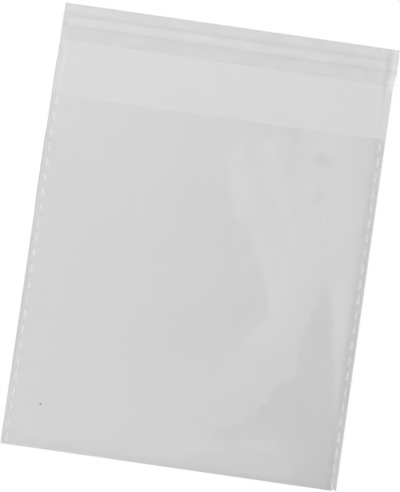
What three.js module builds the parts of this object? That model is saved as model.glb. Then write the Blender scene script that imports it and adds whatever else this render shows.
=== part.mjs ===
// A flat self-seal bag of clear film, lying empty on its back, in millimetres with +Z up.
// One sheet of film makes the back panel, the bottom fold and the front panel. The back panel runs on
// past the mouth as the flap, which lies open. The sides are cut and welded by a hot knife. The flap
// carries a stripe of adhesive under a peel-off liner.
// The origin is the middle of the back panel's underside, +Y points to the flap and +X to the right.
import * as THREE from "three";

// Sizes of the bag
const bagWidth = 130;
const bodyHeight = 136;
const flapLength = 35;
const filmThickness = 0.04;

// The pocket between the two panels, as it lies: its greatest gap, and how far above the fold it gets there
const pocketGap = 1.5;
const pocketRise = 60;

// The side welds: the band where the panels are fused into one
const weldWidth = 2.5;

// The adhesive stripe, set back from the end of the flap, and the liner, flush with that end
const adhesiveWidth = 4.1;
const adhesiveThickness = 0.03;
const adhesiveSetback = 4.7;
const linerWidth = 14.2;
const linerThickness = 0.03;
const linerShift = 0.5;

// How finely curved surfaces are cut into flat ones
const pocketColumns = 12;
const pocketRows = 8;
const flapRows = 2;
const foldSteps = 4;
const beadSteps = 4;

// Places worked out from the sizes
const halfWidth = bagWidth / 2;
const totalHeight = bodyHeight + flapLength;
const bottomY = -totalHeight / 2;
const topY = totalHeight / 2;
const mouthY = bottomY + bodyHeight;
const pocketHalfWidth = halfWidth - weldWidth;
const foldRadius = filmThickness;
const foldY = bottomY + foldRadius;
const fusedThickness = 2 * filmThickness;
const beadRadius = fusedThickness;

const evenly = (from, to, steps) =>
  Array.from({ length: steps + 1 }, (_, i) => from + ((to - from) * i) / steps);

// The gap between the panels: none at the welds and the fold, crowned between them, open at the mouth.
function gapAt(x, y) {
  const across = Math.max(0, 1 - (x / pocketHalfWidth) ** 2);
  const up = Math.min(1, Math.max(0, (y - foldY) / pocketRise));
  return pocketGap * across * (1 - (1 - up) ** 2);
}

// How thick the two panels are together, without the gap: the bead that the hot knife leaves runs
// along each side edge, as a round rib.
function panelsThickness(x) {
  const fromRibCentre = Math.abs(x) - (halfWidth - beadRadius);
  if (fromRibCentre <= -beadRadius) return fusedThickness;
  return beadRadius + Math.sqrt(Math.max(0, beadRadius ** 2 - fromRibCentre ** 2));
}

// The lines along Y that the surfaces are built on, from left to right.
const pocketLines = evenly(-pocketHalfWidth, pocketHalfWidth, pocketColumns);
const beadLines = evenly(Math.PI, 0, beadSteps).map(
  (turn) => halfWidth - beadRadius + beadRadius * Math.cos(turn),
);
const allLines = [
  ...beadLines.map((x) => -x).reverse(),
  ...pocketLines,
  ...beadLines,
];
const bodyRows = evenly(foldY, mouthY, pocketRows);
const flapRowsY = evenly(mouthY, topY, flapRows);

// The points of one cross-section, in order round the film, each as a function of x.
const at = (y, height) => (x) => [x, y, height(x)];
const underside = [...bodyRows, ...flapRowsY.slice(1)].reverse().map((y) => at(y, () => 0));
const foldNose = evenly(0, Math.PI, foldSteps).map(
  (turn) => (x) => [
    x,
    foldY - foldRadius * Math.sin(turn),
    (panelsThickness(x) / 2) * (1 - Math.cos(turn)),
  ],
);
const frontOutside = bodyRows.map((y) => at(y, (x) => panelsThickness(x) + gapAt(x, y)));
const frontInside = bodyRows.map((y) => at(y, (x) => filmThickness + gapAt(x, y)));
const backInside = bodyRows.map((y) => at(y, () => filmThickness));
const flapTop = flapRowsY.map((y) => at(y, () => filmThickness));

// The film as one closed surface: strips between neighbouring lines, a row of points at a time.
function filmBag() {
  const corners = [];
  const triangle = (a, b, c) => corners.push(...a, ...b, ...c);
  // The diagonals lean towards the middle from both sides, so the pocket opens up right from its corners.
  const strip = (lines, points) => {
    for (let i = 0; i + 1 < lines.length; i++) {
      for (let k = 0; k + 1 < points.length; k++) {
        const a = points[k](lines[i]);
        const b = points[k + 1](lines[i]);
        const c = points[k + 1](lines[i + 1]);
        const d = points[k](lines[i + 1]);
        const onTheLeft = lines[i] + lines[i + 1] < 0;
        const risesInY = b[1] > a[1];
        if (onTheLeft === risesInY) {
          triangle(a, c, b);
          triangle(a, d, c);
        } else {
          triangle(a, d, b);
          triangle(b, d, c);
        }
      }
    }
  };
  strip(allLines, underside);
  strip(allLines, foldNose);
  strip(allLines, frontOutside);
  strip(allLines, [frontOutside.at(-1), frontInside.at(-1)]);
  strip(pocketLines, frontInside.toReversed());
  strip(pocketLines, backInside);
  strip(allLines, flapTop);
  strip(allLines, [flapTop.at(-1), underside[0]]);

  // The two cut sides: the end of the fold, the body's edge and the flap's edge.
  for (const side of [-1, 1]) {
    const x = side * halfWidth;
    const face = (...points) => {
      const [first, ...rest] = points.map((point) => point(x));
      for (let k = 0; k + 1 < rest.length; k++) {
        if (side < 0) triangle(first, rest[k + 1], rest[k]);
        else triangle(first, rest[k], rest[k + 1]);
      }
    };
    const under = underside.toReversed();
    face(...foldNose.toReversed());
    for (let j = 0; j + 2 < bodyRows.length; j++) {
      face(frontOutside[j], under[j], under[j + 1], frontOutside[j + 1]);
    }
    const last = pocketRows - 1;
    face(frontOutside[last], under[last], under[last + 1], flapTop[0], frontOutside[last + 1]);
    for (let j = 0; j < flapRows; j++) {
      face(flapTop[j], under[pocketRows + j], under[pocketRows + j + 1], flapTop[j + 1]);
    }
  }
  const geometry = new THREE.BufferGeometry();
  geometry.setAttribute("position", new THREE.Float32BufferAttribute(corners, 3));
  geometry.computeVertexNormals();
  return geometry;
}

function boxBetween([x0, y0, z0], [x1, y1, z1]) {
  const box = new THREE.BoxGeometry(x1 - x0, y1 - y0, z1 - z0);
  return box.translate((x0 + x1) / 2, (y0 + y1) / 2, (z0 + z1) / 2);
}

const stripeTopY = topY - adhesiveSetback;
const stripeBaseZ = filmThickness;
const linerBaseZ = stripeBaseZ + adhesiveThickness;

function adhesiveStripe() {
  return boxBetween(
    [-halfWidth, stripeTopY - adhesiveWidth, stripeBaseZ],
    [halfWidth, stripeTopY, linerBaseZ],
  );
}

function releaseLiner() {
  return boxBetween(
    [-halfWidth + linerShift, topY - linerWidth, linerBaseZ],
    [halfWidth + linerShift, topY, linerBaseZ + linerThickness],
  );
}

const clearFilm = new THREE.MeshStandardMaterial({
  color: 0xd3d3d3,
  roughness: 0.2,
  metalness: 0,
  transparent: true,
  opacity: 0.7,
});
const tackyAdhesive = new THREE.MeshStandardMaterial({
  color: 0xdadada,
  roughness: 0.35,
  metalness: 0,
  transparent: true,
  opacity: 0.6,
});
const linerFilm = new THREE.MeshStandardMaterial({
  color: 0xd6d6d6,
  roughness: 0.3,
  metalness: 0,
  transparent: true,
  opacity: 0.6,
});

function namedMesh(name, geometry, material) {
  const mesh = new THREE.Mesh(geometry, material);
  mesh.name = name;
  return mesh;
}

const bag = new THREE.Group();
bag.add(namedMesh("film_bag", filmBag(), clearFilm));
bag.add(namedMesh("adhesive_strip", adhesiveStripe(), tackyAdhesive));
bag.add(namedMesh("release_liner", releaseLiner(), linerFilm));

export default bag;
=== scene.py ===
"""A flat self-seal film bag with its flap open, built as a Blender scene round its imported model."""

import math

import bpy
import numpy as np
from bpy.props import FloatProperty, FloatVectorProperty, IntProperty, PointerProperty
from bpy.types import Operator, Panel, PropertyGroup
from mathutils import Euler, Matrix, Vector, noise


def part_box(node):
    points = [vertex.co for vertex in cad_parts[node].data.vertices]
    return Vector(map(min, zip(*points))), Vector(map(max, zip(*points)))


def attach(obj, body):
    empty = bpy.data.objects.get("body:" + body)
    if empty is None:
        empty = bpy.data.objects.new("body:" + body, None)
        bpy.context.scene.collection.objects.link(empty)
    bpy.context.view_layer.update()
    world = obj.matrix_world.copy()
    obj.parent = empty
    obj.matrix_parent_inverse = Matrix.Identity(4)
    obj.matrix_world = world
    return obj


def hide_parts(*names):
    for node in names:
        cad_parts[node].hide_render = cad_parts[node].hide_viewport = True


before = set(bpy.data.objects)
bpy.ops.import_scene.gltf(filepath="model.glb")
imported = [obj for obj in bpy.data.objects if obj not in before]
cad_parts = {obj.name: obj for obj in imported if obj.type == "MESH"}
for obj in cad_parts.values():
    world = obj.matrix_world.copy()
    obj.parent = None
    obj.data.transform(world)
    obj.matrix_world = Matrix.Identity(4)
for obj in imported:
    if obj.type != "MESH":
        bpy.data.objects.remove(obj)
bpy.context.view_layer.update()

bl_info = {
    "name": "Self-seal film bag",
    "version": (1, 0, 0),
    "blender": (4, 5, 0),
    "location": "3D View > Sidebar > Film bag",
    "description": "Builds the film, weld marks, adhesive and liner of a flat self-seal bag",
    "category": "Add Mesh",
}

MM = 0.001
BODY = "root"

# Places in millimetres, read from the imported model.
FILM_LOW, FILM_HIGH = (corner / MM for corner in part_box("film_bag"))
STRIPE_LOW, STRIPE_HIGH = (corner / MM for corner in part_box("adhesive_strip"))
LINER_LOW, LINER_HIGH = (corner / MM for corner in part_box("release_liner"))
HALF_WIDTH = FILM_HIGH.x
BOTTOM_Y = FILM_LOW.y
TOP_Y = FILM_HIGH.y
FILM_THICKNESS = STRIPE_LOW.z

# How far apart the pressed marks and the puckers beside them are, in millimetres.
MARK_PITCH = 5.92
# How deep the foot of a mark sits in the film, in metres.
MARK_SINK = 0.000004
# How far from the outline of a clinging patch its tone fades away, in millimetres.
PATCH_FADE = 0.9
# How closely the flap clings to what it lies on.
FLAP_CLING = 1.75
# How much darker a clinging of 1 and a melted edge of 1 make the film, as shares of its colour. The
# clinging also carries painted highlights and painted shade, and the edge carries painted shade.
CLING_AND_PAINTED_LIGHT_TONE = 0.045
EDGE_AND_PAINTED_SHADE_TONE = 0.22
# The refractive index of the plastics that the film, adhesive and liner are made of.
PLASTIC_IOR = 1.49
# How far the mouth's edge dips towards the fold in its middle, in millimetres.
MOUTH_BOW = 0.3
# How high the melted rib stands on the body and on the flap, in shares of its radius.
BODY_RIB, FLAP_RIB = 1.1, 0.7

# Where the front panel clings to the back panel, as outlines on the bag in millimetres.
MIDDLE_CLING = (
    (44, 52), (36, 42), (31, 46), (24, 47), (17, 41), (11, 43), (7, 38), (6.5, 32), (8, 26),
    (11, 13.5), (18, 9), (20.5, 3), (23, -3), (26, -9.5), (28.5, -15), (29, -23), (24, -28),
    (20.8, -35.5), (16.2, -40.5), (13, -51), (12.3, -58.8), (14, -66), (16, -86), (-63, -86),
    (-63, 52),
)
CORNER_CLING = (
    (50.8, -8), (47, -18), (44.3, -28), (43.6, -43.5), (42, -47.3), (36.2, -48.4),
    (35.6, -55.5), (32.2, -57.2), (31, -61), (25.8, -65.3), (15, -69.5), (16, -73), (13, -79),
    (2, -86),
    (63, -86), (61.6, -66), (58.4, -47), (55.6, -32), (52.9, -14),
)
# Shallow valleys and low folds in the front panel, as lines in millimetres.
VALLEY_LINES = (
    ((20, 24), (25, 16.5), (31, 8)),
)
RIDGE_LINES = (
    ((14.6, 23.3), (16.2, 18.7), (17.7, 14.1), (21.2, 9.1)),
    ((21.9, 40.6), (25, 36.8), (27.3, 31), (30.4, 24.5), (33.5, 16)),
    ((38.6, 42.4), (41, 41.2)),
    ((40.2, 28.5), (41.2, 26)),
)
FOLD_RIDGE_LINES = (
    ((27, -73.2), (40, -72.6)),
    ((4, -78.6), (19.6, -76.2)),
)
VALLEY_DEPTH, RIDGE_HEIGHT = 0.08, 0.09
LINE_WIDTH, FOLD_RIDGE_WIDTH = 2.2, 1.9

# Painted highlights and painted shade: streaks and spots where the film is painted lighter or darker,
# mostly beside the low folds and valleys, where one side faces the light and the other faces away.
# They are added to the clinging: a line and its width in millimetres, and by how much.
PAINTED_HIGHLIGHT_STREAKS = (
    (((13.1, 24.1), (14.6, 19.5), (16.2, 14.5)), 2.2, 0.9),
    (((17.5, 11.5), (20.4, 7.6), (24.2, 0.3)), 1.8, 0.5),
    (((20.4, 42.1), (23.5, 37.5), (25.8, 31.8), (28.5, 25.3), (31.2, 18.4)), 2, 0.7),
    (((35.8, 47.1), (44.6, 44.1)), 2.5, 0.4),
)
PAINTED_SHADE_STREAKS = (
    (((20.4, 24.9), (25.4, 20.3), (28.5, 14.5), (31.2, 5.7)), 1.8, 0.6),
    (((40.2, 40.2), (43.4, 39.2)), 1.7, 1.2),
    (((29, 48.3), (30.3, 46)), 1.6, 0.9),
    (((42, 26.5), (42.4, 23.5)), 1.3, 0.7),
    (((16.9, -70.5), (21, -70.8), (31, -69.3)), 1.4, 0.35),
    (((17, -60), (29, -57.5)), 4.5, 0.3),
)

# A speck of dust and three glints on the film, in millimetres.
DUST_PLACE, DUST_RADIUS = (-51.9, -68.5), 0.33
GLINT_PLACES, GLINT_RADIUS = ((6.8, 31.3), (23.2, 6.9), (45.2, 17)), 0.6

# How finely the film is divided near its side edges, its fold and its mouth: distances from
# each in millimetres.
SIDE_STEPS = (0.45, 0.8, 1.2, 1.6, 2, 2.4, 2.8, 3.2, 3.7, 4.3, 5)
FOLD_STEPS = (0, 0.3, 0.6, 0.9, 1.3, 1.8, 2.5, 3.4)
MOUTH_STEPS = (0, 0.2, 0.4, 0.7, 1, 1.4, 2, 3)

# The floor, in metres, and the camera that saw the bag from nearly straight above: its lens in
# millimetres, its place in metres and its turn in degrees.
FLOOR_DROP = 0.00002
FLOOR_HALF = 4
FLOOR_FADE = 0.001
CAMERA_LENS = 114
CAMERA_PLACE = (0.00131, -0.01462, 0.5979)
CAMERA_TURN = (1.405, -0.077, 8.206)


class BagSizes(PropertyGroup):
    """Sizes of the film bag"""

    body_height: FloatProperty(
        name="Body height", description="From the bottom fold to the mouth",
        default=0.136, unit="LENGTH")
    weld_width: FloatProperty(
        name="Weld width", description="Width of the fused band along each side",
        default=0.0025, unit="LENGTH")
    bead_radius: FloatProperty(
        name="Bead radius", description="Radius of the melted rib on each cut edge",
        default=0.00013, unit="LENGTH")
    film_gap: FloatProperty(
        name="Film gap", description="Gap between the panels where they cling together",
        default=0.000012, unit="LENGTH")
    pocket_lift: FloatProperty(
        name="Pocket lift", description="How far the front panel stands off where it is loose",
        default=0.0003, unit="LENGTH")
    lift_run: FloatProperty(
        name="Lift run", description="How far from a clinging patch the panel takes to rise",
        default=0.008, unit="LENGTH")
    grid_step: FloatProperty(
        name="Grid step", description="Size of the film's faces",
        default=0.00115, unit="LENGTH")
    curl_height: FloatProperty(
        name="Curl height", description="How far the flap's right-hand end curls up",
        default=0.0005, unit="LENGTH")


class MarkSizes(PropertyGroup):
    """Sizes of the row of pressed marks along each weld"""

    pitch: FloatProperty(
        name="Pitch", description="Distance from one mark to the next",
        default=MARK_PITCH * MM, unit="LENGTH")
    first: FloatProperty(
        name="First mark", description="Distance from the bottom fold to the first mark",
        default=0.00255, unit="LENGTH")
    inset: FloatProperty(
        name="Inset", description="Distance from the side edge to the middle of the marks",
        default=0.00212, unit="LENGTH")
    shift: FloatProperty(
        name="Shift", description="How far both rows of marks lie to the right of even",
        default=0.00017, unit="LENGTH")
    length: FloatProperty(
        name="Length", description="Length of a mark along the weld",
        default=0.0036, unit="LENGTH")
    width: FloatProperty(
        name="Width", description="Width of a mark across the weld",
        default=0.0009, unit="LENGTH")
    height: FloatProperty(
        name="Rim height", description="Height of the rim that pressing leaves round a mark",
        default=0.00009, unit="LENGTH")
    seed: IntProperty(
        name="Seed", description="Seed of the small differences between the marks", default=4)


class BagColours(PropertyGroup):
    """Colours of the film, marks, adhesive and liner"""

    film: FloatVectorProperty(
        name="Film", description="Colour of the film", subtype="COLOR",
        size=3, min=0, max=1, default=(0.69, 0.69, 0.69))
    film_alpha: FloatProperty(
        name="Film opacity", description="Opacity of one surface of the film",
        default=0.57, min=0, max=1, subtype="FACTOR")
    mark: FloatVectorProperty(
        name="Marks", description="Colour of the pressed marks", subtype="COLOR",
        size=3, min=0, max=1, default=(0.9, 0.9, 0.9))
    mark_alpha: FloatProperty(
        name="Mark opacity", description="Opacity of the marks on the welds",
        default=0.32, min=0, max=1, subtype="FACTOR")
    flap_mark_alpha: FloatProperty(
        name="Flap mark opacity", description="Opacity of the fainter marks on the flap",
        default=0.12, min=0, max=1, subtype="FACTOR")
    adhesive: FloatVectorProperty(
        name="Adhesive", description="Colour of the adhesive stripe", subtype="COLOR",
        size=3, min=0, max=1, default=(0.9, 0.9, 0.9))
    adhesive_alpha: FloatProperty(
        name="Adhesive opacity", description="Opacity of the stripe away from its borders",
        default=0.06, min=0, max=1, subtype="FACTOR")
    liner: FloatVectorProperty(
        name="Liner", description="Colour of the release liner", subtype="COLOR",
        size=3, min=0, max=1, default=(0.71, 0.71, 0.71))
    liner_alpha: FloatProperty(
        name="Liner opacity", description="Opacity of one surface of the liner",
        default=0.3, min=0, max=1, subtype="FACTOR")


class StageSettings(PropertyGroup):
    """Light, floor and camera"""

    lamp_power: FloatProperty(
        name="Lamp power", description="Power of the large soft lamp", default=58.5, unit="POWER")
    lamp_distance: FloatProperty(
        name="Lamp distance", description="Distance from the bag to the lamp",
        default=2.2, unit="LENGTH")
    lamp_size: FloatProperty(
        name="Lamp size", description="Side of the square lamp", default=2.2, unit="LENGTH")
    lamp_elevation: FloatProperty(
        name="Lamp elevation", description="Angle of the lamp above the floor",
        default=math.radians(36), subtype="ANGLE")
    lamp_azimuth: FloatProperty(
        name="Lamp azimuth", description="Angle of the lamp round the bag, from +X",
        default=math.radians(146), subtype="ANGLE")
    world_level: FloatProperty(
        name="World level", description="Strength of the even light from all round",
        default=0.42)
    floor_white: FloatProperty(
        name="Floor white", description="Share of the floor that shows as plain white",
        default=0.75, min=0, max=1, subtype="FACTOR")


# Shape of the film. Places on the bag are in millimetres from its middle, and so are the distances
# over which something rises or fades.

def smooth(value):
    """0 below 0, 1 above 1, and a smooth step between."""
    t = np.clip(value, 0, 1)
    return t * t * (3 - 2 * t)


def hump(value, top, width):
    """1 where the value is at the top, and less away from it, over about the given width."""
    return np.exp(-((value - top) / width) ** 2)


def edge_distance(x, y, line, closed):
    """Distance from each point to a line of straight pieces."""
    best = np.full(np.shape(x), 1e9)
    ends = line[1:] + line[:1] if closed else line[1:]
    for (ax, ay), (bx, by) in zip(line, ends):
        run_x, run_y = bx - ax, by - ay
        along = ((x - ax) * run_x + (y - ay) * run_y) / (run_x ** 2 + run_y ** 2)
        along = np.clip(along, 0, 1)
        best = np.minimum(best, np.hypot(x - ax - along * run_x, y - ay - along * run_y))
    return best


def outline_distance(x, y, outline):
    """Distance from each point to an outline, negative inside it."""
    inside = np.zeros(np.shape(x), bool)
    for (ax, ay), (bx, by) in zip(outline, outline[1:] + outline[:1]):
        crosses = (ay > y) != (by > y)
        if by != ay:
            inside ^= crosses & (x < ax + (y - ay) * (bx - ax) / (by - ay))
    return np.where(inside, -1, 1) * edge_distance(x, y, outline, True)


def near_line(x, y, line, width):
    """1 on a line and less away from it, over about the given width."""
    return hump(edge_distance(x, y, line, False), 0, width)


def ripple(x, y, size, layer):
    """Smooth noise from about -1 to 1, with waves of the given size. layer picks the pattern."""
    flat = [noise.noise(Vector((a / size, b / size, layer)))
            for a, b in zip(np.ravel(x), np.ravel(y))]
    return np.array(flat).reshape(np.shape(x))


def cling_and_painted_light_at(x, y, fold_y, mouth_y):
    """How closely the two panels cling together, from 0; most in the lower right-hand corner. The
    flap clings to what it lies on. Painted highlights and painted shade along the low folds and
    valleys are added into the same number."""
    # The middle patch clings more to the right and away from the mouth, and less near the fold.
    middle = 1 - smooth(outline_distance(x, y, MIDDLE_CLING) / PATCH_FADE)
    middle *= 0.2 + 0.2 * smooth((x + 20) / 20) + 0.4 * smooth((mouth_y - y) / 40)
    middle *= 0.6 + 0.4 * smooth((x + 62) / 60)
    middle *= 1 - 0.5 * smooth((-30 - y) / 35)
    middle *= 1 + 0.35 * np.exp(-((x - 22) / 12) ** 2 - ((y + 20) / 14) ** 2)
    # The corner patch clings most low on the right, and fades out at its top.
    corner = 1 - smooth(outline_distance(x, y, CORNER_CLING) / PATCH_FADE)
    corner *= 1.6 + 0.9 * smooth((-40 - y) / 45) * smooth((x - 10) / 50)
    corner *= smooth((-2 - y) / 18)
    corner *= 1 - 0.5 * smooth((-60 - y) / 14) * smooth((60 - x) / 20)
    # Between and beside the patches the right half clings a little, low down and by the mouth.
    between = 0.45 * smooth((-20 - y) / 25) * smooth(x / 12)
    between += 0.4 * smooth((y - 25) / 12) * smooth((x - 5) / 8)
    cling = np.maximum(np.maximum(middle, corner), between)
    # Painted highlights lighten the film and painted shade darkens it along the low folds and
    # valleys.
    for line, width, share in PAINTED_HIGHLIGHT_STREAKS:
        cling -= share * near_line(x, y, line, width)
    for line, width, share in PAINTED_SHADE_STREAKS:
        cling += share * near_line(x, y, line, width)
    for line in FOLD_RIDGE_LINES:
        cling *= 1 - 0.5 * near_line(x, y, line, 1.5)
    # The panels close up towards the fold, most on the right, and less on the right-hand edge.
    cling = np.maximum(cling, 0.9 * (1 - smooth((y - fold_y) / 8)))
    cling += 1.5 * smooth((x + 45) / 75) * (1 - smooth((y - fold_y) / 3))
    cling *= 1 - 0.5 * smooth((x - 62) / 0.8)
    by_mouth = smooth((y - mouth_y + 0.5) / 0.5)
    return cling * (1 - by_mouth) + FLAP_CLING * by_mouth


def edge_and_painted_shade_at(x, y, radius, weld, mouth_y):
    """How dark the film is near its edges: melting has darkened the rims of the cut edges and the
    fused bands. Painted shade makes the right-hand band darker than the left and darkens the slope
    beside it, which faces away from the light. A darker line runs just inside the left rim. The flap
    has only the rims."""
    inset = HALF_WIDTH - np.abs(x)
    rim = smooth((2.6 * radius - inset) / radius)
    fused = smooth((weld + 0.4 - inset) / 0.8)
    # The right-hand band is darker than the left by painted shade, as it slopes away from the light.
    fading = 0.28 + 0.16 * smooth((40 - y) / 40) - 0.4 * smooth((-62 - y) / 10)
    fused *= np.where(x > 0, fading, 0.1)
    # Painted shade on the slope beside the right-hand weld, which faces away from the light.
    right_slope_shade = 0.28 * smooth((42 - y) / 15) + 0.35 * smooth(-y / 18) - 0.2 * smooth((-52 - y) / 12)
    right_slope_shade = 0.78 * right_slope_shade * smooth((weld + 3 - inset) / 2.9) * np.where(x > 0, 1, 0)
    line = hump(inset, 0.78, 0.3) * np.where(x < 0, 1, 0)
    line *= 0.1 + 0.45 * smooth((5 - y) / 15) * smooth((y + 66) / 12)
    body = np.maximum(np.maximum(fused, right_slope_shade), line)
    return np.maximum(rim, np.where(y < mouth_y, body, 0))


def panel_gap(x, y, sizes, fold_y, mouth_y):
    """Gap between the panels in millimetres, down to none at the welds and the fold."""
    # The panel rises away from the patches, less on the left and low down.
    near = np.minimum(outline_distance(x, y, MIDDLE_CLING), outline_distance(x, y, CORNER_CLING))
    loose = sizes.pocket_lift / MM * (0.25 + 0.75 * smooth((x + 45) / 50))
    loose *= 1 - 0.6 * smooth((-15 - y) / 25)
    gap = loose * (1 - np.exp(-np.maximum(near, 0) / (sizes.lift_run / MM)))
    gap += 0.12 * loose * (1 - np.exp(-np.maximum(near, 0)))
    outside = smooth(near / 3)
    for line in VALLEY_LINES:
        gap -= VALLEY_DEPTH * outside * near_line(x, y, line, LINE_WIDTH)
    for line in RIDGE_LINES:
        gap += RIDGE_HEIGHT * outside * near_line(x, y, line, LINE_WIDTH)
    for line in FOLD_RIDGE_LINES:
        gap += RIDGE_HEIGHT * near_line(x, y, line, FOLD_RIDGE_WIDTH)
    # Slight waves all over, puckers beside the welds, and a little more room by fold and mouth.
    gap += 0.02 * (1 + ripple(x, y, 9, 3.1)) + 0.006 * (1 + ripple(x, y, 3.5, 7.7))
    from_weld = HALF_WIDTH - sizes.weld_width / MM - np.abs(x)
    pucker = 0.03 * np.sin(2 * math.pi * (y - fold_y) / MARK_PITCH + np.sign(x))
    gap += np.exp(-np.maximum(from_weld, 0) / 2.2) * pucker
    gap += 0.04 * np.exp(-(y - fold_y) / 3.2)
    gap += 0.15 * np.exp(-(mouth_y - y) / 6)
    # The welds and the fold close it.
    gap = np.maximum(gap, 0) * (1 - np.exp(-np.maximum(from_weld, 0) / 2.5))
    return gap * smooth((y - fold_y) / 4)


def flap_lift(x, y, sizes):
    """How far the flap stands off the surface, in millimetres: a little all over but on its side
    bands, and more where its ends curl up."""
    height = sizes.curl_height / MM
    right = height * np.clip((x - HALF_WIDTH + 3.4) / 3.4, 0, 1.2) ** 2
    # A low ridge where the curl begins, highest near the adhesive.
    right += (0.05 + 0.17 * hump(y, 76, 8)) * hump(x - HALF_WIDTH, -4.4, 1.1)
    left = 0.15 * height * np.clip((-x - HALF_WIDTH + 3) / 3, 0, 1.2) ** 2
    mouth_y = BOTTOM_Y + sizes.body_height / MM
    inside = 0.09 * smooth((HALF_WIDTH - 2.3 - np.abs(x)) / 0.9) * smooth((y - mouth_y) / 6)
    return inside + right * smooth((y - TOP_Y + 20) / 5) + left * smooth((y - TOP_Y + 24) / 6)


def corner_nick(x, y):
    """How far the fold is nicked upwards at the lower right-hand corner, in millimetres."""
    across = smooth((x - 63.2) / 0.5) * smooth((64.75 - x) / 0.5)
    return 0.6 * across * smooth((BOTTOM_Y + 3 - y) / 3)


def side_shift(x, y):
    """How far to the right the cut edges wander from straight, in millimetres."""
    left = 0.2 * smooth((y - 60) / 6) + 0.2 * smooth((y - 80) / 6)
    left = left - 0.17 * smooth((y - 5) / 6) * smooth((38 - y) / 6)
    left = left + 0.1 + 0.06 * smooth((-3 - y) / 8)
    right = -0.17 - 0.12 * hump(y, 71, 1.6) + 0.45 * smooth((y - 73) / 3)
    return left * smooth((-x - HALF_WIDTH + 10) / 10) + right * smooth((x - HALF_WIDTH + 10) / 10)


def graded(low, high, low_steps, high_steps, step):
    """Places from low to high: the given distances in from each end, and even steps between."""
    head = [low + s for s in low_steps]
    tail = [high - s for s in high_steps]
    count = max(1, round((tail[-1] - head[-1]) / step))
    middle = np.linspace(head[-1], tail[-1], count + 1)[1:-1]
    return np.array([*head, *middle, *reversed(tail)])


class Surface:
    """Faces gathered as grids of points, which share the points they have in common."""

    def __init__(self):
        self.points = []
        self.faces = []
        self.count = 0

    def add(self, rows):
        """rows is an array of rows of points in space. Returns the numbers of its points."""
        rows = np.asarray(rows, float)
        numbers = np.arange(self.count, self.count + rows.shape[0] * rows.shape[1])
        self.points.append(rows.reshape(-1, 3))
        self.count += numbers.size
        return numbers.reshape(rows.shape[:2])

    def strip(self, rows):
        """Faces between neighbouring rows, which go round the film in order."""
        n = self.add(rows)
        quads = np.stack([n[:-1, :-1], n[:-1, 1:], n[1:, 1:], n[1:, :-1]], -1)
        self.faces += quads.reshape(-1, 4).tolist()

    def face(self, *points):
        """One face through the given points."""
        self.faces.append(self.add([points])[0].tolist())

    def to_object(self, name, collection):
        """A mesh object in metres, with points that lie on each other made one."""
        points = np.round(np.concatenate(self.points), 6)
        kept, place = np.unique(points, axis=0, return_inverse=True)
        place = place.reshape(-1)
        faces = []
        for face in self.faces:
            ring = [int(place[k]) for k in face]
            ring = [k for i, k in enumerate(ring) if k != ring[i - 1]]
            if len(set(ring)) > 2:
                faces.append(ring)
        mesh = bpy.data.meshes.new(name)
        mesh.from_pydata((kept * MM).tolist(), [], faces)
        mesh.validate()
        mesh.shade_smooth()
        mesh.set_sharp_from_angle(angle=math.radians(40))
        made = bpy.data.objects.new(name, mesh)
        collection.objects.link(made)
        return made


def paint(piece, name, values):
    """Store one number per point of the piece for its material."""
    layer = piece.data.attributes.new(name, "FLOAT", "POINT")
    layer.data.foreach_set("value", np.asarray(values, np.float32))


def places(piece):
    """The x, y and z of the piece's points, in millimetres."""
    flat = np.empty(len(piece.data.vertices) * 3)
    piece.data.vertices.foreach_get("co", flat)
    return flat.reshape(-1, 3).T / MM


def finish_piece(piece, slot_name, *nodes):
    """Give the piece its body and hide the imported parts it stands for; slot_name is not used."""
    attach(piece, BODY)
    if nodes:
        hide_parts(*nodes)
    return piece


# Materials

def new_material(name, colour, roughness, alpha):
    """A material whose plain numbers sit on the shader itself. Returns it and its parts."""
    material = bpy.data.materials.new(name)
    material.use_nodes = True
    nodes, links = material.node_tree.nodes, material.node_tree.links
    shader = nodes["Principled BSDF"]
    shader.inputs["Base Color"].default_value = (*colour, 1)
    shader.inputs["Roughness"].default_value = roughness
    shader.inputs["Alpha"].default_value = alpha
    shader.inputs["IOR"].default_value = PLASTIC_IOR
    return material, nodes, links, shader


def maths(nodes, links, operation, first, second, third=None):
    """A maths node of two or three values, each a socket or a number."""
    node = nodes.new("ShaderNodeMath")
    node.operation = operation
    for socket, value in zip(node.inputs, (first, second, third)):
        if isinstance(value, bpy.types.NodeSocket):
            links.new(value, socket)
        elif value is not None:
            socket.default_value = value
    return node.outputs[0]


def object_place(nodes):
    """The coordinates of the piece itself."""
    return nodes.new("ShaderNodeTexCoord").outputs["Object"]


def noise_of(nodes, links, scale, detail=2, stretch=(1, 1, 1)):
    """Noise from 0 to 1 over the piece, with features of about 1 / scale metres."""
    mapping = nodes.new("ShaderNodeMapping")
    mapping.inputs["Scale"].default_value = stretch
    links.new(object_place(nodes), mapping.inputs["Vector"])
    texture = nodes.new("ShaderNodeTexNoise")
    texture.inputs["Scale"].default_value = scale
    texture.inputs["Detail"].default_value = detail
    links.new(mapping.outputs["Vector"], texture.inputs["Vector"])
    return texture.outputs["Fac"]


def attribute_of(nodes, name):
    """A number that is stored on the piece's points."""
    node = nodes.new("ShaderNodeAttribute")
    node.attribute_name = name
    return node.outputs["Fac"]


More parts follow.
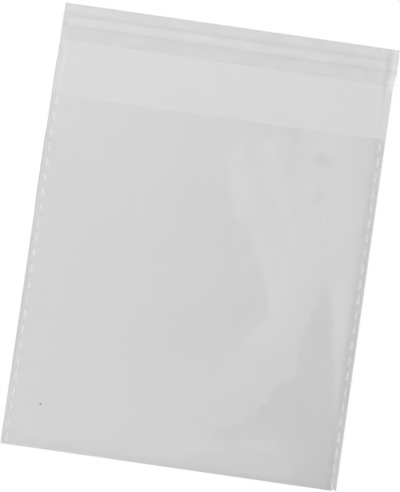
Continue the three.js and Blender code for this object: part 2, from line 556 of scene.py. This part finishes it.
def spot(nodes, links, place, radius):
    """1 inside a small round spot on the bag and 0 outside, for a place in millimetres."""
    away = nodes.new("ShaderNodeVectorMath")
    away.operation = "SUBTRACT"
    links.new(object_place(nodes), away.inputs[0])
    away.inputs[1].default_value = (place[0] * MM, place[1] * MM, 0)
    flat = nodes.new("ShaderNodeVectorMath")
    flat.operation = "MULTIPLY"
    links.new(away.outputs[0], flat.inputs[0])
    flat.inputs[1].default_value = (1, 1, 0)
    length = nodes.new("ShaderNodeVectorMath")
    length.operation = "LENGTH"
    links.new(flat.outputs[0], length.inputs[0])
    fade = nodes.new("ShaderNodeMapRange")
    fade.interpolation_type = "SMOOTHSTEP"
    links.new(length.outputs["Value"], fade.inputs["Value"])
    fade.inputs["From Min"].default_value = 0.6 * radius * MM
    fade.inputs["From Max"].default_value = 1.4 * radius * MM
    fade.inputs["To Min"].default_value = 1
    fade.inputs["To Max"].default_value = 0
    return fade.outputs["Result"]


def tint(nodes, links, shader, colour, factor):
    """Multiply the colour by a factor and give it to the shader."""
    scale = nodes.new("ShaderNodeVectorMath")
    scale.operation = "SCALE"
    scale.inputs[0].default_value = colour
    links.new(factor, scale.inputs["Scale"])
    links.new(scale.outputs[0], shader.inputs["Base Color"])


def fine_bump(nodes, links, shader, height, distance):
    """A shallow bump from a height between 0 and 1."""
    bump = nodes.new("ShaderNodeBump")
    bump.inputs["Strength"].default_value = 1
    bump.inputs["Distance"].default_value = distance
    links.new(height, bump.inputs["Height"])
    links.new(bump.outputs["Normal"], shader.inputs["Normal"])


def pass_lamp_light(material, share):
    """Let this share of the lamps' light through a surface, as clear film does."""
    nodes, links = material.node_tree.nodes, material.node_tree.links
    clear = nodes.new("ShaderNodeBsdfTransparent")
    clear.inputs["Color"].default_value = (share, share, share, 1)
    mix = nodes.new("ShaderNodeMixShader")
    path = nodes.new("ShaderNodeLightPath")
    links.new(path.outputs["Is Shadow Ray"], mix.inputs["Fac"])
    links.new(nodes["Principled BSDF"].outputs[0], mix.inputs[1])
    links.new(clear.outputs[0], mix.inputs[2])
    links.new(mix.outputs[0], nodes["Material Output"].inputs["Surface"])
    return material


def film_material(colours):
    """Clear film with a slight haze, darker where the panels cling and on the melted edge, with
    painted highlights and painted shade carried by the same two numbers, and three painted glints.
    """
    material, nodes, links, shader = new_material(
        "clear_film", colours.film, roughness=0.3, alpha=colours.film_alpha)
    cloudy = noise_of(nodes, links, 40)
    grain = noise_of(nodes, links, 420, 3)
    level = maths(nodes, links, "MULTIPLY_ADD", cloudy, 0.03, 0.985)
    level = maths(nodes, links, "MULTIPLY_ADD", grain, 0.02, level)
    # The clinging number also carries painted highlights and painted shade along the low folds, and
    # the edge number carries painted shade on the right-hand weld and the slope beside it.
    cling = maths(nodes, links, "MULTIPLY", attribute_of(nodes, "cling"), CLING_AND_PAINTED_LIGHT_TONE)
    level = maths(nodes, links, "SUBTRACT", level, cling)
    edge = maths(nodes, links, "MULTIPLY", attribute_of(nodes, "edge"), EDGE_AND_PAINTED_SHADE_TONE)
    level = maths(nodes, links, "SUBTRACT", level, edge)
    for place in GLINT_PLACES:
        glint = spot(nodes, links, place, GLINT_RADIUS)
        level = maths(nodes, links, "MULTIPLY_ADD", glint, 0.07, level)
    dust = spot(nodes, links, DUST_PLACE, DUST_RADIUS)
    clean = maths(nodes, links, "SUBTRACT", 1, maths(nodes, links, "MULTIPLY", dust, 0.75))
    level = maths(nodes, links, "MULTIPLY", level, clean)
    tint(nodes, links, shader, colours.film, level)
    fine_bump(nodes, links, shader, grain, 0.00001)
    return pass_lamp_light(material, share=0.92)


def mark_material(colours, name, opacity):
    """Film that pressing has turned whiter."""
    material, nodes, links, shader = new_material(
        name, colours.mark, roughness=0.35, alpha=opacity)
    speckle = noise_of(nodes, links, 700, 2)
    level = maths(nodes, links, "MULTIPLY_ADD", speckle, 0.16, 0.92)
    tint(nodes, links, shader, colours.mark, level)
    fine_bump(nodes, links, shader, speckle, 0.00002)
    return pass_lamp_light(material, share=0.95)


def adhesive_material(colours):
    """Clear adhesive, with painted shade along its two borders, where the liner bends down over them.
    """
    material, nodes, links, shader = new_material(
        "tacky_adhesive", colours.adhesive, roughness=0.4, alpha=colours.adhesive_alpha)
    streaks = noise_of(nodes, links, 260, 2, (0.25, 1, 1))
    level = maths(nodes, links, "MULTIPLY_ADD", streaks, 0.1, 0.95)
    border = attribute_of(nodes, "border")
    # Painted shade along the stripe's borders.
    level = maths(nodes, links, "MULTIPLY_ADD", border, -0.1, level)
    opacity = maths(nodes, links, "MULTIPLY_ADD", border, 0.03, colours.adhesive_alpha)
    links.new(opacity, shader.inputs["Alpha"])
    tint(nodes, links, shader, colours.adhesive, level)
    fine_bump(nodes, links, shader, streaks, 0.00002)
    return pass_lamp_light(material, share=0.98)


def liner_material(colours):
    """Release film with the mottling of a film that touches another here and there, and painted shade
    where it is creased along the stripe's edges and the flap's end.
    """
    material, nodes, links, shader = new_material(
        "release_film", colours.liner, roughness=0.3, alpha=colours.liner_alpha)
    mottle = noise_of(nodes, links, 170, 3, (0.6, 1, 1))
    level = maths(nodes, links, "MULTIPLY_ADD", mottle, 0.2, 0.925)
    # Painted shade where the liner is creased along the stripe's edges and the flap's end.
    level = maths(nodes, links, "MULTIPLY_ADD", attribute_of(nodes, "crease_shade"), -0.11, level)
    level = maths(nodes, links, "MULTIPLY_ADD", attribute_of(nodes, "lower"), -0.06, level)
    tint(nodes, links, shader, colours.liner, level)
    fine_bump(nodes, links, shader, mottle, 0.00001)
    return pass_lamp_light(material, share=0.96)


# Pieces

def bead_height(offset, radius):
    """Height of a round rib at a distance in from the cut edge, in shares of its radius."""
    return np.sqrt(np.clip(1 - ((offset - radius) / radius) ** 2, 0, 1))


def close_sides(skin, nose, outside, under, flap_top):
    """The faces of the two cut sides: the end of the fold, the body's edge and the flap's."""
    def close(side, *rows):
        """One face through the end points of the given rows."""
        points = [row[side] for row in rows]
        skin.face(*(points if side else points[::-1]))

    top = len(outside) - 2
    for side in (0, -1):
        close(side, *reversed(nose))
        for j in range(top):
            close(side, outside[j], under[j], under[j + 1], outside[j + 1])
        close(side, outside[top], under[top], under[top + 1], flap_top[0], outside[top + 1])
        for k in range(len(flap_top) - 1):
            j = top + 1 + k
            close(side, flap_top[k], under[j], under[j + 1], flap_top[k + 1])


def build_film(sizes, colours, collection):
    """The whole sheet of film: back panel, fold, front panel and flap, as one closed skin."""
    t = FILM_THICKNESS
    radius = sizes.bead_radius / MM
    weld = sizes.weld_width / MM
    step = sizes.grid_step / MM
    fold_y = BOTTOM_Y + t
    mouth_y = BOTTOM_Y + sizes.body_height / MM
    bead = [0, 0.3 * radius, radius, 1.7 * radius, 2 * radius]
    sides = (*bead, *SIDE_STEPS)
    columns = graded(-HALF_WIDTH, HALF_WIDTH, sides, sides, step)
    body = graded(fold_y, mouth_y, FOLD_STEPS, MOUTH_STEPS, step)
    flap = graded(mouth_y, TOP_Y, [0, 0.5, 1.2], [0, 0.4, 1], step)
    first, last = len(bead) - 1, len(columns) - len(bead)
    offset = HALF_WIDTH - np.abs(columns)
    on_bead = offset < 2 * radius + 1e-6

    def row(y, height, bow=0):
        """One row of points across the bag, at heights in millimetres. A row with a bow dips
        towards the fold between the ribs."""
        reach = np.minimum(np.abs(columns) / columns[last], 1)
        ys = y - bow * (1 - reach ** 8)
        ys = ys + corner_nick(columns, ys)
        return np.stack([columns + side_shift(columns, ys), ys, height], -1)

    def lift(y):
        """How far the flap stands off the surface on a row."""
        return flap_lift(columns, np.full(columns.shape, float(y)), sizes)

    def gap(y):
        """Gap between the panels on a row, closed at the bead and the fold."""
        ys = np.full(columns.shape, float(y))
        least = sizes.film_gap / MM
        open_gap = np.maximum(panel_gap(columns, ys, sizes, fold_y, mouth_y), least)
        return np.where(on_bead | (y < fold_y + 1e-6), 0, open_gap)

    # Rows of points across the bag, which together go round the film's section.
    rib = np.where(on_bead, bead_height(offset, radius), 0)
    flat = np.zeros(columns.shape)
    underside = [row(y, flat + lift(y)) for y in [*body, *flap[1:]]][::-1]
    bow = [MOUTH_BOW * smooth((y - mouth_y + 4) / 4) for y in body]
    outside = [row(y, 2 * t + gap(y) + rib * BODY_RIB * radius, b) for y, b in zip(body, bow)]
    ceiling = [row(y, t + gap(y), b) for y, b in zip(body, bow)]
    floor = [row(y, flat + t) for y in body]
    flap_top = [row(y, t + lift(y) + rib * FLAP_RIB * radius * smooth(y - mouth_y)) for y in flap]
    nose = []
    for turn in np.linspace(0, math.pi, 7):
        across = row(fold_y, outside[0][:, 2] / 2 * (1 - math.cos(turn)))
        across[:, 1] -= t * math.sin(turn)
        nose.append(across)

    skin = Surface()
    skin.strip(underside)
    skin.strip(nose)
    skin.strip(outside)
    skin.strip([outside[-1], ceiling[-1]])
    inner = slice(first, last + 1)
    skin.strip([r[inner] for r in reversed(ceiling)])
    skin.strip([r[inner] for r in floor])
    skin.strip(flap_top)
    skin.strip([flap_top[-1], underside[0]])
    close_sides(skin, nose, outside, underside[::-1], flap_top)
    film = skin.to_object("film", collection)
    x, y, _ = places(film)
    # These numbers carry painted highlights and painted shade as well as the clinging and the melted
    # edges.
    paint(film, "cling", cling_and_painted_light_at(x, y, fold_y, mouth_y))
    paint(film, "edge", edge_and_painted_shade_at(x, y, radius, weld, mouth_y))
    film.data.materials.append(film_material(colours))
    return film


def build_band(name, low, high, rise, waver, collection):
    """A thin flat band with wavering long edges, lying on the flap. rise gives its height."""
    ends, edges = (0, 0.4, 0.9, 1.5, 2.2, 3), (0, 0.25, 0.5, 0.8)
    columns = graded(low.x, high.x, ends, ends, 1.2)
    rows = graded(low.y, high.y, edges, edges, 0.45)
    middle = (low.y + high.y) / 2
    top, bottom = [], []
    for y in rows:
        ys = np.full(columns.shape, float(y))
        share = (ys - middle) / (high.y - middle)
        # Each half of the band wavers as its own long edge does, less towards the middle.
        ys = ys + waver * share * ripple(columns, ys * 0 + np.sign(share), 6, 1.3)
        base = rise(columns, ys)
        shifted = columns + side_shift(columns, ys)
        bottom.append(np.stack([shifted, ys, low.z + base], -1))
        top.append(np.stack([shifted, ys, high.z + base], -1))
    band = Surface()
    band.strip(bottom[::-1])
    band.strip(top)
    band.strip([top[-1], bottom[-1]])
    band.strip([bottom[0], top[0]])
    for side in (0, -1):
        for j in range(len(rows) - 1):
            ring = [r[side] for r in (top[j], bottom[j], bottom[j + 1], top[j + 1])]
            band.face(*(ring if side else ring[::-1]))
    return band.to_object(name, collection)


def mark_shape():
    """A bar with round ends and a dished top, one unit long, wide and high, as a helper mesh."""
    # Half of the mark's width, as a share of its length.
    round_end = 0.125
    straight = 0.5 - round_end
    # Rings of points from the foot over the rim into the dish: each one's size and height.
    rings = ((1.0, 0.0), (0.84, 1.0), (0.4, 0.25), (0.12, 0.05))
    turns = 12
    points, faces = [], []
    for share, height in rings:
        for k in range(turns):
            turn = 2 * math.pi * (k + 0.5) / turns
            end = straight if math.sin(turn) > 0 else -straight
            points.append((0.5 * share * math.cos(turn),
                           end * (0.4 + 0.6 * share) + round_end * share * math.sin(turn),
                           height))
    for ring in range(len(rings) - 1):
        for k in range(turns):
            a, b = ring * turns + k, ring * turns + (k + 1) % turns
            faces.append((a, b, b + turns, a + turns))
    top = (len(rings) - 1) * turns
    faces.append(tuple(range(top, top + turns)))
    faces.append(tuple(reversed(range(turns))))
    mesh = bpy.data.meshes.new("mark_shape")
    mesh.from_pydata(points, [], faces)
    mesh.shade_smooth()
    mesh.set_sharp_from_angle(angle=math.radians(60))
    return bpy.data.objects.new("mark_shape", mesh)


def mark_rows_tree():
    """Geometry nodes that set a row of marks along each side of the bag."""
    tree = bpy.data.node_groups.new("Rows of pressed marks", "GeometryNodeTree")
    for name, kind in (
        ("Mark", "NodeSocketObject"), ("Count", "NodeSocketInt"), ("Pitch", "NodeSocketFloat"),
        ("First Y", "NodeSocketFloat"), ("Side X", "NodeSocketFloat"),
        ("Shift", "NodeSocketFloat"), ("Height", "NodeSocketFloat"),
        ("Length", "NodeSocketFloat"), ("Width", "NodeSocketFloat"), ("Rim", "NodeSocketFloat"),
        ("Seed", "NodeSocketInt"), ("Material", "NodeSocketMaterial"),
    ):
        tree.interface.new_socket(name, in_out="INPUT", socket_type=kind)
    tree.interface.new_socket("Geometry", in_out="OUTPUT", socket_type="NodeSocketGeometry")
    nodes, links = tree.nodes, tree.links
    given = nodes.new("NodeGroupInput").outputs
    join = nodes.new("GeometryNodeJoinGeometry")
    step = nodes.new("ShaderNodeCombineXYZ")
    links.new(given["Pitch"], step.inputs["Y"])
    for side in (-1, 1):
        across = nodes.new("ShaderNodeMath")
        across.operation = "MULTIPLY_ADD"
        links.new(given["Side X"], across.inputs[0])
        across.inputs[1].default_value = side
        links.new(given["Shift"], across.inputs[2])
        start = nodes.new("ShaderNodeCombineXYZ")
        links.new(across.outputs[0], start.inputs["X"])
        links.new(given["First Y"], start.inputs["Y"])
        links.new(given["Height"], start.inputs["Z"])
        line = nodes.new("GeometryNodeMeshLine")
        line.mode = "OFFSET"
        links.new(given["Count"], line.inputs["Count"])
        links.new(start.outputs[0], line.inputs["Start Location"])
        links.new(step.outputs[0], line.inputs["Offset"])
        links.new(line.outputs["Mesh"], join.inputs["Geometry"])
    mark = nodes.new("GeometryNodeObjectInfo")
    links.new(given["Mark"], mark.inputs["Object"])
    vary = nodes.new("FunctionNodeRandomValue")
    vary.data_type = "FLOAT_VECTOR"
    vary.inputs["Min"].default_value = (0.85, 0.86, 0.8)
    vary.inputs["Max"].default_value = (1.12, 1.1, 1.15)
    links.new(given["Seed"], vary.inputs["Seed"])
    size = nodes.new("ShaderNodeCombineXYZ")
    for name, axis in (("Width", "X"), ("Length", "Y"), ("Rim", "Z")):
        links.new(given[name], size.inputs[axis])
    scale = nodes.new("ShaderNodeVectorMath")
    scale.operation = "MULTIPLY"
    links.new(size.outputs[0], scale.inputs[0])
    links.new(vary.outputs["Value"], scale.inputs[1])
    spread = nodes.new("GeometryNodeInstanceOnPoints")
    links.new(join.outputs["Geometry"], spread.inputs["Points"])
    links.new(mark.outputs["Geometry"], spread.inputs["Instance"])
    links.new(scale.outputs[0], spread.inputs["Scale"])
    real = nodes.new("GeometryNodeRealizeInstances")
    links.new(spread.outputs["Instances"], real.inputs["Geometry"])
    coat = nodes.new("GeometryNodeSetMaterial")
    links.new(real.outputs["Geometry"], coat.inputs["Geometry"])
    links.new(given["Material"], coat.inputs["Material"])
    result = nodes.new("NodeGroupOutput")
    links.new(coat.outputs["Geometry"], result.inputs["Geometry"])
    return tree


def build_marks(name, tree, values, collection):
    """Run the tree with the given values and keep its result as a plain mesh."""
    carrier = bpy.data.objects.new("mark_carrier", bpy.data.meshes.new("mark_carrier"))
    collection.objects.link(carrier)
    modifier = carrier.modifiers.new("Rows", "NODES")
    modifier.node_group = tree
    for item in tree.interface.items_tree:
        if item.in_out == "INPUT":
            modifier[item.identifier] = values[item.name]
    bpy.context.view_layer.update()
    ready = carrier.evaluated_get(bpy.context.evaluated_depsgraph_get())
    mesh = bpy.data.meshes.new_from_object(ready)
    mesh.name = name
    bpy.data.objects.remove(carrier)
    marks = bpy.data.objects.new(name, mesh)
    collection.objects.link(marks)
    return marks


class BAG_OT_film(Operator):
    """Build the folded and welded sheet of film"""

    bl_idname = "bag.film"
    bl_label = "Film"

    def execute(self, context):
        scene = context.scene
        sizes = scene.bag_sizes
        film = build_film(sizes, scene.bag_colours, scene.collection)
        finish_piece(film, "film", "film_bag")
        return {"FINISHED"}


class BAG_OT_weld_marks(Operator):
    """Set the rows of pressed marks on the welds and on the flap's sides"""

    bl_idname = "bag.weld_marks"
    bl_label = "Weld marks"

    def execute(self, context):
        scene = context.scene
        sizes, marks, colours = scene.bag_sizes, scene.mark_sizes, scene.bag_colours
        room = sizes.body_height - marks.first - marks.length / 2
        count = int(room / marks.pitch) + 1
        flap_first = marks.first + count * marks.pitch
        flap_room = (TOP_Y - BOTTOM_Y) * MM - flap_first - marks.length / 2
        flap_count = int(flap_room / marks.pitch) + 1
        if count < 1 or flap_count < 1:
            raise RuntimeError("the marks don't fit along the welds")
        shape = mark_shape()
        scene.collection.objects.link(shape)
        tree = mark_rows_tree()
        thickness = FILM_THICKNESS * MM
        values = {
            "Mark": shape, "Count": count, "Pitch": marks.pitch,
            "First Y": BOTTOM_Y * MM + marks.first,
            "Side X": HALF_WIDTH * MM - marks.inset, "Shift": marks.shift,
            "Height": 2 * thickness + sizes.film_gap - MARK_SINK,
            "Length": marks.length, "Width": marks.width, "Rim": marks.height,
            "Seed": marks.seed,
            "Material": mark_material(colours, "pressed_mark", colours.mark_alpha),
        }
        on_body = build_marks("weld_marks", tree, values, scene.collection)
        values.update({
            "Count": flap_count, "First Y": BOTTOM_Y * MM + flap_first,
            "Height": thickness - MARK_SINK, "Rim": 0.4 * marks.height,
            "Width": 0.8 * marks.width, "Seed": marks.seed + 1,
            "Material": mark_material(colours, "faint_mark", colours.flap_mark_alpha),
        })
        on_flap = build_marks("flap_marks", tree, values, scene.collection)
        bpy.data.objects.remove(shape)
        for piece in (on_body, on_flap):
            finish_piece(piece, "film")
        return {"FINISHED"}


class BAG_OT_adhesive(Operator):
    """Build the stripe of adhesive on the flap"""

    bl_idname = "bag.adhesive"
    bl_label = "Adhesive stripe"

    def execute(self, context):
        scene = context.scene
        sizes = scene.bag_sizes
        # A little room between the stripe and the films below and above it, in millimetres.
        hair = Vector((0, 0, 0.002))
        stripe = build_band(
            "adhesive", STRIPE_LOW + hair, STRIPE_HIGH - hair,
            rise=lambda x, y: flap_lift(x, y, sizes), waver=0.12, collection=scene.collection)
        _, y, _ = places(stripe)
        from_edge = np.minimum(y - STRIPE_LOW.y, STRIPE_HIGH.y - y)
        # Painted shade along both borders, where the liner bends down over them.
        paint(stripe, "border", 1 - smooth((from_edge - 0.2) / 0.5))
        stripe.data.materials.append(adhesive_material(scene.bag_colours))
        finish_piece(stripe, "adhesive", "adhesive_strip")
        return {"FINISHED"}


class BAG_OT_liner(Operator):
    """Build the peel-off liner over the adhesive"""

    bl_idname = "bag.liner"
    bl_label = "Liner"

    def execute(self, context):
        scene = context.scene
        sizes = scene.bag_sizes

        def rise(x, y):
            """The liner is loose off the stripe, and goes over the rib on the right-hand edge."""
            off_stripe = np.maximum(STRIPE_LOW.y - y, y - STRIPE_HIGH.y)
            loose = 0.03 * (1 + ripple(x, y, 7, 5.5)) * smooth(off_stripe / 2)
            over_rib = 0.08 * smooth((x - HALF_WIDTH + 0.9) / 0.5)
            return flap_lift(x, y, sizes) + loose + over_rib

        liner = build_band(
            "liner", LINER_LOW, LINER_HIGH, rise, waver=0.1, collection=scene.collection)
        _, y, _ = places(liner)
        # Painted shade where the liner is creased along both edges of the stripe, and a little along
        # the flap's end.
        crease_shade = 0.8 * hump(y - STRIPE_LOW.y, -0.05, 0.8)
        crease_shade += 1.15 * hump(y - STRIPE_HIGH.y, 0.4, 0.85)
        crease_shade += 0.5 * hump(y - LINER_HIGH.y, 0, 0.7)
        paint(liner, "crease_shade", crease_shade)
        up = (y - LINER_LOW.y) / (LINER_HIGH.y - LINER_LOW.y)
        paint(liner, "lower", 1 - smooth(3 * up - 0.7))
        liner.data.materials.append(liner_material(scene.bag_colours))
        finish_piece(liner, "liner", "release_liner")
        return {"FINISHED"}


def white_share(nodes, links, share):
    """The given share for rays that see or mirror a thing, and 0 for light on other things."""
    path = nodes.new("ShaderNodeLightPath").outputs
    seen = maths(nodes, links, "MAXIMUM", path["Is Camera Ray"], path["Is Glossy Ray"])
    seen = maths(nodes, links, "MAXIMUM", seen, path["Is Transmission Ray"])
    return maths(nodes, links, "MULTIPLY", seen, share)


class BAG_OT_stage(Operator):
    """Build the floor, the light and the camera"""

    bl_idname = "bag.stage"
    bl_label = "Stage"

    def execute(self, context):
        scene = context.scene
        stage = scene.bag_stage
        self.add_floor(scene, stage)
        self.add_light(scene, stage)
        self.add_camera(scene)
        scene.view_settings.view_transform = "Standard"
        # Light on its way through the liner, the adhesive and two panels meets many surfaces.
        scene.cycles.transparent_max_bounces = 32
        return {"FINISHED"}

    def add_floor(self, scene, stage):
        """A white floor that takes a share of the bag's shadow, and none away from the bag."""
        half, z = FLOOR_HALF, -FLOOR_DROP
        mesh = bpy.data.meshes.new("floor")
        mesh.from_pydata([(-half, -half, z), (half, -half, z), (half, half, z), (-half, half, z)],
                         [], [(0, 1, 2, 3)])
        floor = bpy.data.objects.new("floor", mesh)
        scene.collection.objects.link(floor)
        material = bpy.data.materials.new("white_floor")
        material.use_nodes = True
        nodes, links = material.node_tree.nodes, material.node_tree.links
        nodes.remove(nodes["Principled BSDF"])
        lit = nodes.new("ShaderNodeBsdfDiffuse")
        lit.inputs["Color"].default_value = (0.98, 0.98, 0.98, 1)
        plain = nodes.new("ShaderNodeEmission")
        plain.inputs["Strength"].default_value = 1
        mix = nodes.new("ShaderNodeMixShader")
        place = nodes.new("ShaderNodeSeparateXYZ")
        links.new(object_place(nodes), place.inputs[0])
        across = maths(nodes, links, "ABSOLUTE", place.outputs["X"], None)
        along = maths(nodes, links, "ABSOLUTE", place.outputs["Y"], None)
        along = maths(nodes, links, "SUBTRACT", along, (TOP_Y - HALF_WIDTH) * MM)
        share = nodes.new("ShaderNodeMapRange")
        links.new(maths(nodes, links, "MAXIMUM", across, along), share.inputs["Value"])
        share.inputs["From Min"].default_value = HALF_WIDTH * MM
        share.inputs["From Max"].default_value = HALF_WIDTH * MM + FLOOR_FADE
        share.inputs["To Min"].default_value = stage.floor_white
        share.inputs["To Max"].default_value = 1
        links.new(white_share(nodes, links, share.outputs["Result"]), mix.inputs["Fac"])
        links.new(lit.outputs[0], mix.inputs[1])
        links.new(plain.outputs[0], mix.inputs[2])
        links.new(mix.outputs[0], nodes["Material Output"].inputs["Surface"])
        mesh.materials.append(material)

    def add_light(self, scene, stage):
        """One large soft lamp at the upper left, and an even light from all round."""
        lamp = bpy.data.lights.new("soft_lamp", "AREA")
        lamp.energy = stage.lamp_power
        lamp.size = stage.lamp_size
        holder = bpy.data.objects.new("soft_lamp", lamp)
        turn, rise = stage.lamp_azimuth, stage.lamp_elevation
        towards = Vector((math.cos(rise) * math.cos(turn), math.cos(rise) * math.sin(turn),
                          math.sin(rise)))
        holder.location = towards * stage.lamp_distance
        holder.rotation_euler = towards.to_track_quat("Z", "Y").to_euler()
        # The film mirrors the white world and not the lamp, which would whiten it from one side.
        holder.visible_glossy = False
        scene.collection.objects.link(holder)
        world = bpy.data.worlds.new("even_light")
        scene.world = world
        world.use_nodes = True
        nodes, links = world.node_tree.nodes, world.node_tree.links
        light = nodes["Background"]
        light.inputs["Color"].default_value = (1, 1, 1, 1)
        light.inputs["Strength"].default_value = stage.world_level
        seen = nodes.new("ShaderNodeBackground")
        seen.inputs["Color"].default_value = (1, 1, 1, 1)
        mix = nodes.new("ShaderNodeMixShader")
        links.new(white_share(nodes, links, 1), mix.inputs["Fac"])
        links.new(light.outputs[0], mix.inputs[1])
        links.new(seen.outputs[0], mix.inputs[2])
        links.new(mix.outputs[0], nodes["World Output"].inputs["Surface"])

    def add_camera(self, scene):
        """The camera, at the photograph's viewing angle."""
        data = bpy.data.cameras.new("camera")
        data.lens = CAMERA_LENS
        camera = bpy.data.objects.new("camera", data)
        camera.location = CAMERA_PLACE
        camera.rotation_euler = Euler([math.radians(angle) for angle in CAMERA_TURN])
        scene.collection.objects.link(camera)
        scene.camera = camera


class BAG_PT_panel(Panel):
    """Sizes, colours and steps of the film bag"""

    bl_label = "Film bag"
    bl_idname = "BAG_PT_panel"
    bl_space_type = "VIEW_3D"
    bl_region_type = "UI"
    bl_category = "Film bag"

    def draw(self, context):
        scene = context.scene
        for group in (scene.bag_sizes, scene.mark_sizes, scene.bag_colours, scene.bag_stage):
            box = self.layout.box()
            for name in group.__annotations__:
                box.prop(group, name)
        for operator in STEPS:
            self.layout.operator(operator.bl_idname)


STEPS = (BAG_OT_film, BAG_OT_weld_marks, BAG_OT_adhesive, BAG_OT_liner, BAG_OT_stage)
GROUPS = {
    "bag_sizes": BagSizes, "mark_sizes": MarkSizes,
    "bag_colours": BagColours, "bag_stage": StageSettings,
}


def register():
    """Make the classes and the scene's settings known."""
    for kind in (*GROUPS.values(), *STEPS, BAG_PT_panel):
        bpy.utils.register_class(kind)
    for name, kind in GROUPS.items():
        setattr(bpy.types.Scene, name, PointerProperty(type=kind))


def unregister():
    """Take the settings and the classes away again."""
    for name in GROUPS:
        delattr(bpy.types.Scene, name)
    for kind in reversed((*GROUPS.values(), *STEPS, BAG_PT_panel)):
        bpy.utils.unregister_class(kind)


def main():
    register()
    bpy.ops.bag.film()
    bpy.ops.bag.weld_marks()
    bpy.ops.bag.adhesive()
    bpy.ops.bag.liner()
    bpy.ops.bag.stage()


if __name__ == "__main__":
    main()
